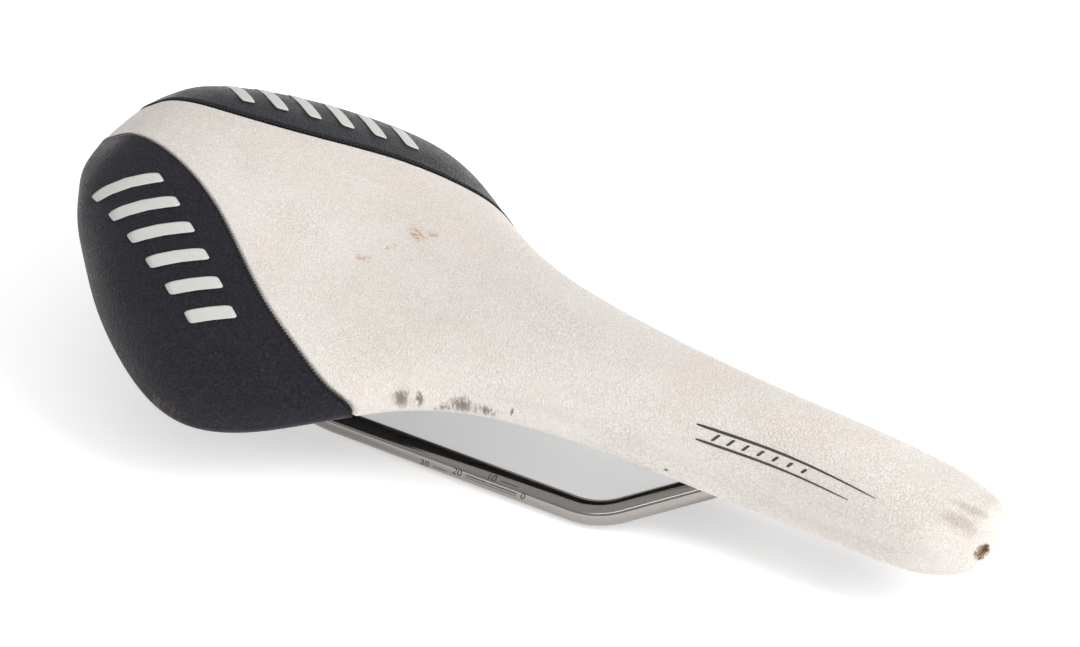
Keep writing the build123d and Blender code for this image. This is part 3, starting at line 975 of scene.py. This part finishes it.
def add_stage():
    floor = make_mesh("floor", *floor_grid())
    floor.data.materials.append(floor_material())
    world = bpy.data.worlds.new("studio")
    bpy.context.scene.world = world
    world.use_nodes = True
    tree = world.node_tree
    direction = tree.nodes.new("ShaderNodeTexCoord").outputs["Generated"]
    split = tree.nodes.new("ShaderNodeSeparateXYZ")
    tree.links.new(direction, split.inputs[0])
    sky = tree.nodes.new("ShaderNodeMapRange")
    sky.interpolation_type = "SMOOTHSTEP"
    for key, value in (("From Min", 0.05), ("From Max", 0.62),
                       ("To Min", SKY_LOW), ("To Max", SKY_HIGH)):
        sky.inputs[key].default_value = value
    tree.links.new(split.outputs["Z"], sky.inputs["Value"])
    tree.links.new(sky.outputs["Result"], tree.nodes["Background"].inputs["Strength"])
    tree.nodes["Background"].inputs["Color"].default_value = (1.0, 1.0, 1.0, 1)
    add_area_light("key", (0.84, 0.05, 0.74), (0.09, 0, 0.02), (0.7, 0.7), 10.6, (1.0, 0.99, 0.98))
    add_area_light("side", (0.15, -1.3, 0.45), (0, 0, 0.02), (0.9, 0.12), 0.9)
    add_area_light("rear", (-0.95, -0.45, 0.55), (-0.06, 0, 0.03), (0.5, 0.5), 0.9)


# ---- materials ----
class Nodes:
    """Short hand for building one material's node tree."""

    def __init__(self, name):
        self.material = bpy.data.materials.new(name)
        self.material.use_nodes = True
        self.tree = self.material.node_tree
        self.shader = self.tree.nodes["Principled BSDF"]
        self.place = self.tree.nodes.new("ShaderNodeTexCoord").outputs["Object"]

    def feed(self, node, key, value):
        if isinstance(value, bpy.types.NodeSocket):
            self.tree.links.new(value, node.inputs[key])
        else:
            node.inputs[key].default_value = value

    def add(self, kind, inputs, **settings):
        node = self.tree.nodes.new(kind)
        for key, value in settings.items():
            setattr(node, key, value)
        for key, value in inputs.items():
            self.feed(node, key, value)
        return node

    def link(self, value, key):
        self.tree.links.new(value, self.shader.inputs[key])

    def colour(self, value):
        self.link(value, "Base Color")

    def set(self, **values):
        for key, value in values.items():
            self.shader.inputs[key.replace("_", " ")].default_value = value

    def math(self, operation, a, b):
        return self.add("ShaderNodeMath", {0: a, 1: b}, operation=operation).outputs[0]

    def times(self, a, b):
        return self.math("MULTIPLY", a, b)

    def noise(self, per_mm, detail=3.0, roughness=0.55, vector=None, distortion=0.0):
        inputs = {"Vector": vector or self.place, "Scale": per_mm / MM, "Detail": detail,
                  "Roughness": roughness, "Distortion": distortion}
        return self.add("ShaderNodeTexNoise", inputs).outputs["Fac"]

    def cells(self, per_mm, vector=None):
        """Distance to the nearest edge between cells."""
        inputs = {"Vector": vector or self.place, "Scale": per_mm / MM, "Randomness": 1.0}
        node = self.add("ShaderNodeTexVoronoi", inputs, feature="DISTANCE_TO_EDGE")
        return node.outputs["Distance"]

    def spread(self, value, low, high, out_low=0.0, out_high=1.0, smooth=False):
        inputs = {"Value": value, "From Min": low, "From Max": high,
                  "To Min": out_low, "To Max": out_high}
        kind = "SMOOTHSTEP" if smooth else "LINEAR"
        return self.add("ShaderNodeMapRange", inputs, interpolation_type=kind).outputs["Result"]

    def mix(self, share, first, second):
        first, second = ((*c, 1.0) if isinstance(c, tuple) else c for c in (first, second))
        inputs = {0: share, 6: first, 7: second}
        return self.add("ShaderNodeMix", inputs, data_type="RGBA").outputs[2]

    def vector(self, operation, a, b):
        return self.add("ShaderNodeVectorMath", {0: a, 1: b}, operation=operation).outputs[0]

    def shifted(self, by_mm):
        return self.vector("ADD", self.place, tuple(c * MM for c in by_mm))

    def blob(self, middle, radii, angle=0.0, soft=0.5):
        """1 inside an ellipsoid, falling to 0 at its edge; angle, in degrees, turns it about Z."""
        moved = self.vector("SUBTRACT", self.place, tuple(c * MM for c in middle))
        turned = self.add("ShaderNodeVectorRotate", {"Vector": moved, "Angle": radians(-angle)},
                          rotation_type="Z_AXIS").outputs[0]
        scaled = self.vector("MULTIPLY", turned, tuple(1 / (r * MM) for r in radii))
        length = self.add("ShaderNodeVectorMath", {0: scaled}, operation="LENGTH")
        return self.spread(length.outputs["Value"], 1.0, soft, smooth=True)

    def roughness(self, per_mm, low, high):
        """Lets the shader's roughness wander between low and high."""
        self.link(self.spread(self.noise(per_mm, 2.0), 0.3, 0.7, low, high), "Roughness")

    def bump(self, bumps, depth_mm, strength=1.0, after=None):
        inputs = {"Height": bumps, "Distance": depth_mm * MM, "Strength": strength}
        if after is not None:
            inputs["Normal"] = after
        return self.add("ShaderNodeBump", inputs).outputs["Normal"]


def floor_material():
    n = Nodes("floor_pale")
    tone = n.noise(0.004, 2.0)
    n.colour(n.mix(tone, (0.93, 0.93, 0.93), (0.95, 0.95, 0.95)))
    n.set(Roughness=0.9, Specular_IOR_Level=0.1)
    n.set(Emission_Color=(1, 1, 1, 1), Emission_Strength=0.42)
    return n.material


def leather_grain(n, cell, creases=0.16):
    """Height of a pebbled leather grain whose cells are about this many millimetres across."""
    warp = n.add("ShaderNodeTexNoise", {"Vector": n.place, "Scale": 0.5 / cell / MM, "Detail": 3.0})
    shift = n.vector("SUBTRACT", warp.outputs["Color"], (0.5, 0.5, 0.5))
    shift = n.add("ShaderNodeVectorMath", {0: shift, "Scale": 1.5 * cell * MM}, operation="SCALE")
    moved = n.vector("ADD", n.place, shift.outputs[0])
    large = n.spread(n.cells(1 / cell, moved), 0.0, creases, smooth=True)
    small = n.spread(n.cells(2.3 / cell, moved), 0.0, creases * 1.4, smooth=True)
    worms = n.spread(n.noise(1.5 / cell, 2.0, vector=moved), 0.38, 0.62, smooth=True)
    fine = n.noise(5 / cell, 3.0)
    both = n.math("ADD", n.times(large, 0.35), n.times(small, 0.25))
    both = n.math("ADD", both, n.times(worms, 0.40))
    return n.math("ADD", both, n.times(fine, 0.20))


def wrinkled(n, grain, per_mm, soft_mm, grain_mm, strength):
    """Soft wrinkles with the grain over them."""
    soft = n.bump(n.noise(per_mm, 3.0), soft_mm, 0.5)
    n.link(n.bump(grain, grain_mm, strength, soft), "Normal")


def stained(n, base, spots, share, colour):
    """The base colour with patches of dirt over it."""
    for middle, radii, angle, per_mm, least in spots:
        inside = n.blob(middle, radii, angle, 0.1)
        streaky = n.vector("MULTIPLY", n.place, (1.0, 1.0, 0.35))
        noise = n.noise(per_mm, 5.0, 0.72, vector=streaky, distortion=0.6)
        outside = n.math("SUBTRACT", 1.0, inside)
        noise = n.math("SUBTRACT", noise, n.times(outside, 0.16))
        speckle = n.spread(noise, least, least + 0.16, smooth=True)
        base = n.mix(n.times(n.times(inside, speckle), share), base, colour)
    return base


# spots on the cover: centre, radii, angle about Z, speckles per mm, least noise that shows
BROWN_STAINS = [((-33.5, 11.5, 43.8), (7.0, 4.4, 6.0), -50, 0.9, 0.40),
                ((-38.5, -9.0, 44.9), (4.5, 4.0, 6.0), 20, 1.1, 0.44),
                ((-35.5, 1.0, 44.3), (10.0, 3.4, 6.0), 60, 0.8, 0.50),
                ((-30.0, 14.5, 43.2), (3.0, 2.4, 6.0), 0, 1.4, 0.38)]
DARK_SCUFFS = [((-8.8, -40.3, 29.0), (4.0, 6.0, 4.4), 32, 0.70, 0.34),
               ((-4.6, -38.0, 28.8), (3.0, 6.0, 4.0), 32, 0.80, 0.36),
               ((5.6, -33.2, 28.0), (6.5, 6.0, 3.6), 28, 0.80, 0.33),
               ((11.5, -30.6, 27.2), (6.0, 5.0, 2.4), 24, 0.90, 0.38),
               ((0.5, -35.6, 26.6), (6.0, 5.0, 2.4), 30, 0.90, 0.46)]
GREY_SMUDGES = [((139.5, -8.8, 29.5), (10.0, 3.2, 7.0), 10, 0.45, 0.27),
                ((140.5, -4.6, 31.5), (8.5, 2.4, 6.0), 6, 0.50, 0.30)]
WORN_CORNERS = [((-63.0, -72.5, 24.0), (15.0, 7.0, 5.0), 12, 0.7, 0.44),
                ((-76.0, -67.0, 27.0), (7.0, 4.0, 5.0), 30, 0.9, 0.50)]
# centre, radii
NICKS = [((18.2, -28.5, 28.4), (0.55, 1.2, 1.9)), ((39.6, -23.3, 28.1), (0.6, 0.5, 0.5)),
         ((60.7, -20.4, 21.5), (0.9, 0.6, 0.5)), ((103.0, -17.6, 19.3), (0.6, 0.6, 0.8))]


def white_leather():
    n = Nodes("leather_off_white")
    grain = leather_grain(n, 1.0)
    tone = n.noise(0.02, 3.0)
    base = n.mix(n.spread(tone, 0.35, 0.65), (0.705, 0.655, 0.612), (0.738, 0.706, 0.674))
    blush = n.spread(n.noise(0.035, 2.0, vector=n.shifted((40, 15, 0))), 0.52, 0.70, smooth=True)
    base = n.mix(n.times(blush, 0.22), base, (0.72, 0.59, 0.52))
    greyer = n.spread(n.noise(0.09, 4.0, vector=n.shifted((7, 90, 3))), 0.55, 0.75, smooth=True)
    base = n.mix(n.times(greyer, 0.16), base, (0.52, 0.47, 0.42))
    # painted shade: the grain's creases are coloured darker, more strongly in patches
    patchy = n.spread(n.noise(0.04, 2.0, vector=n.shifted((3, 31, 0))), 0.35, 0.65, 0.25, 0.9)
    painted_crease_shade = n.math("SUBTRACT", 1.0, n.times(n.spread(grain, 0.75, 0.35), patchy))
    base = n.mix(painted_crease_shade, (0.59, 0.54, 0.49), base)
    base = stained(n, base, BROWN_STAINS, 0.75, (0.42, 0.20, 0.06))
    base = stained(n, base, DARK_SCUFFS, 0.80, (0.10, 0.075, 0.065))
    base = stained(n, base, GREY_SMUDGES, 0.42, (0.27, 0.20, 0.15))
    for middle, radii in NICKS:
        nick = n.times(n.blob(middle, radii, soft=0.3), 0.85)
        base = n.mix(nick, base, (0.05, 0.035, 0.03))
    torn = n.blob(tuple(HOLE), (3.0, 3.0, 3.0), 0, 0.66)
    torn = n.times(torn, n.spread(n.noise(1.2, 3.0), 0.35, 0.6))
    base = n.mix(torn, base, (0.20, 0.115, 0.06))
    n.colour(base)
    n.roughness(0.15, 0.42, 0.52)
    n.set(Specular_IOR_Level=0.35)
    wrinkled(n, grain, 0.30, 0.35, 0.21, 0.9)
    return n.material


def black_leather():
    n = Nodes("leather_black")
    grain = leather_grain(n, 1.25)
    tone = n.noise(0.03, 3.0)
    base = n.mix(n.spread(tone, 0.35, 0.65), (0.0085, 0.0075, 0.0160), (0.0140, 0.0125, 0.0240))
    # painted shade: the grain's valleys are coloured darker than the cell tops
    base = n.mix(n.spread(grain, 0.42, 0.72), (0.0025, 0.0025, 0.0045), base)
    base = stained(n, base, WORN_CORNERS, 0.55, (0.16, 0.10, 0.055))
    n.colour(base)
    n.roughness(0.2, 0.28, 0.38)
    n.set(Specular_IOR_Level=0.30)
    wrinkled(n, grain, 0.35, 0.30, 0.60, 1.0)
    return n.material


def print_ink(name, colour, worn_colour, least):
    """Printed ink, rubbed through in small specks."""
    n = Nodes(name)
    specks = n.spread(n.noise(1.6, 5.0, 0.7), least, least + 0.05, smooth=True)
    shade = n.mix(n.noise(0.4, 2.0), colour, tuple(c * 0.90 for c in colour))
    n.colour(n.mix(specks, shade, worn_colour))
    n.set(Roughness=0.5)
    grain = leather_grain(n, 1.0)
    n.link(n.bump(grain, 0.07, 0.5), "Normal")
    return n.material


def polished_metal():
    n = Nodes("metal_polished")
    n.set(Metallic=1.0)
    stretched = n.vector("MULTIPLY", n.place, (0.05, 1.0, 1.0))
    lines = n.noise(4.0, 2.0, vector=stretched)
    n.colour(n.mix(lines, (0.26, 0.242, 0.228), (0.36, 0.340, 0.322)))
    n.link(n.spread(lines, 0.3, 0.7, 0.07, 0.13), "Roughness")
    n.link(n.bump(lines, 0.004, 0.4), "Normal")
    return n.material


def moulded_plastic(name, colour, roughness=0.55):
    n = Nodes(name)
    speckle = n.noise(2.5, 2.0)
    lighter = tuple(c * 1.5 + 0.004 for c in colour)
    n.colour(n.mix(speckle, colour, lighter))
    n.roughness(0.3, roughness - 0.06, roughness + 0.06)
    n.link(n.bump(speckle, 0.02, 0.4), "Normal")
    return n.material


def foam():
    n = Nodes("foam_tan")
    pores = n.cells(1.8)
    # painted shade: the colour is darker where the cells' edges sink in
    n.colour(n.mix(n.spread(pores, 0.0, 0.3), (0.24, 0.13, 0.06), (0.56, 0.38, 0.20)))
    n.set(Roughness=0.95)
    n.link(n.bump(pores, 0.25, 0.8), "Normal")
    return n.material


def thread():
    n = Nodes("thread_black")
    n.colour(n.mix(n.noise(3.0, 2.0), (0.012, 0.012, 0.014), (0.035, 0.035, 0.04)))
    n.set(Roughness=0.75)
    return n.material


def zinc_steel():
    n = Nodes("steel_zinc")
    n.set(Metallic=1.0)
    n.colour(n.mix(n.noise(1.5, 2.0), (0.42, 0.42, 0.43), (0.56, 0.56, 0.57)))
    n.roughness(0.8, 0.28, 0.42)
    return n.material


def dress(piece, material):
    piece.data.materials.clear()
    piece.data.materials.append(material)
    for polygon in piece.data.polygons:
        polygon.material_index = 0


# ---- putting it together ----
def build_cover():
    white = white_leather()
    black = black_leather()
    centre = centre_panel()
    thicken(centre, COVER)
    wear_hole(centre)
    dress(centre, white)
    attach(centre, "saddle")
    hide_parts("cover_centre")
    for side, word in ((1, "left"), (-1, "right")):
        wing = wing_panel(side, f"cover_wing_panel_{word}")
        thicken(wing, WING_THICKNESS)
        dress(wing, black)
        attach(wing, "saddle")
        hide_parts(f"cover_wing_{word}")
        seam = stitching(side, f"seam_zigzag_{word}")
        dress(seam, thread())
        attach(seam, "saddle")
        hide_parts(f"seam_stitching_{word}")


def build_foam():
    core = foam_pad()
    dress(core, foam())
    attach(core, "saddle")
    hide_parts("foam_padding")


def build_rail():
    rail = rail_piece()
    dress(rail, polished_metal())
    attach(rail, "saddle")
    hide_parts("rail")
    ink = print_ink("ink_rail", (0.03, 0.028, 0.028), (0.35, 0.34, 0.33), 0.60)
    rail_scale(-1, "right", ink)
    rail_scale(1, "left", ink)


def build_marks():
    pale = print_ink("ink_pale", (0.58, 0.575, 0.55), (0.05, 0.05, 0.055), 0.67)
    dark = print_ink("ink_dark", (0.045, 0.042, 0.042), (0.40, 0.37, 0.34), 0.66)
    for side, word in ((1, "left"), (-1, "right")):
        wing_mark(side, f"wing_mark_{word}", pale)
        nose_mark(side, f"nose_mark_{word}", dark)


EDGES_SOFTENED = ("clip_cover", "clip_bracket", "nose_retainer")
EDGE_WIDTH = 0.3


def dress_frame():
    """Materials for the CAD nodes that stay in sight."""
    nylon = moulded_plastic("nylon_black", (0.018, 0.018, 0.020))
    plain = moulded_plastic("plastic_dark", (0.030, 0.030, 0.032), 0.45)
    steel = zinc_steel()
    looks = {"base_shell": nylon, "nose_retainer": nylon, "clip_bracket": nylon,
             "rail_bush_left": plain, "rail_bush_right": plain, "clip_cover": plain,
             "nose_retainer_screws": steel, "clip_bracket_screws": steel}
    for name, material in looks.items():
        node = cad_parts[name]
        dress(node, material)
        if name in EDGES_SOFTENED:
            modify(node, "WELD", merge_threshold=0.005 * MM)
            modify(node, "BEVEL", width=EDGE_WIDTH * MM, segments=2, limit_method="ANGLE",
                   angle_limit=radians(50), harden_normals=True)


build_cover()
build_foam()
build_marks()
build_rail()
dress_frame()
add_camera()
add_stage()
bpy.context.scene.view_settings.view_transform = "Standard"
